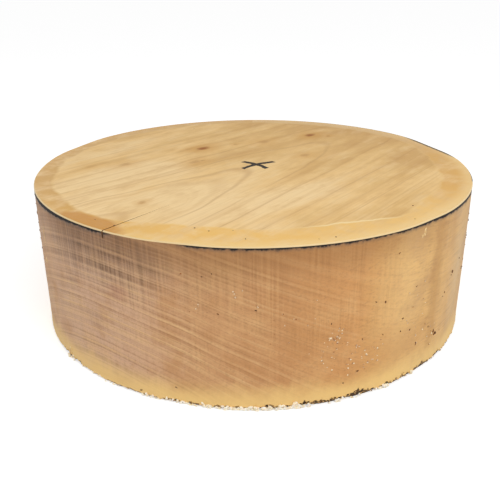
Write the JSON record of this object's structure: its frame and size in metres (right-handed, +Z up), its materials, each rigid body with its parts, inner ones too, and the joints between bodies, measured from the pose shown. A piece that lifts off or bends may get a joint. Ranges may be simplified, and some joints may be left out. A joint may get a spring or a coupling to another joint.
{
  "type": "wood turning blank",
  "caption": "Round bandsawn hardwood blank with waxed rim and flat sawn faces, raw stock for turning a bowl or platter on a lathe.",
  "frame": {"origin": "centre of the lower sawn face, where it rests on the floor", "axes": "+Z up through the thickness of the blank, +X along the grain of the plank it was sawn from, +Y across the grain"},
  "size_m": [0.3, 0.3, 0.1],
  "materials": {
    "wood": "bandsawn pale hardwood, end grain and rim sealed with clear wax"
  },
  "bodies": {
    "root": {"turning_blank": "wood"}
  },
  "joints": []
}
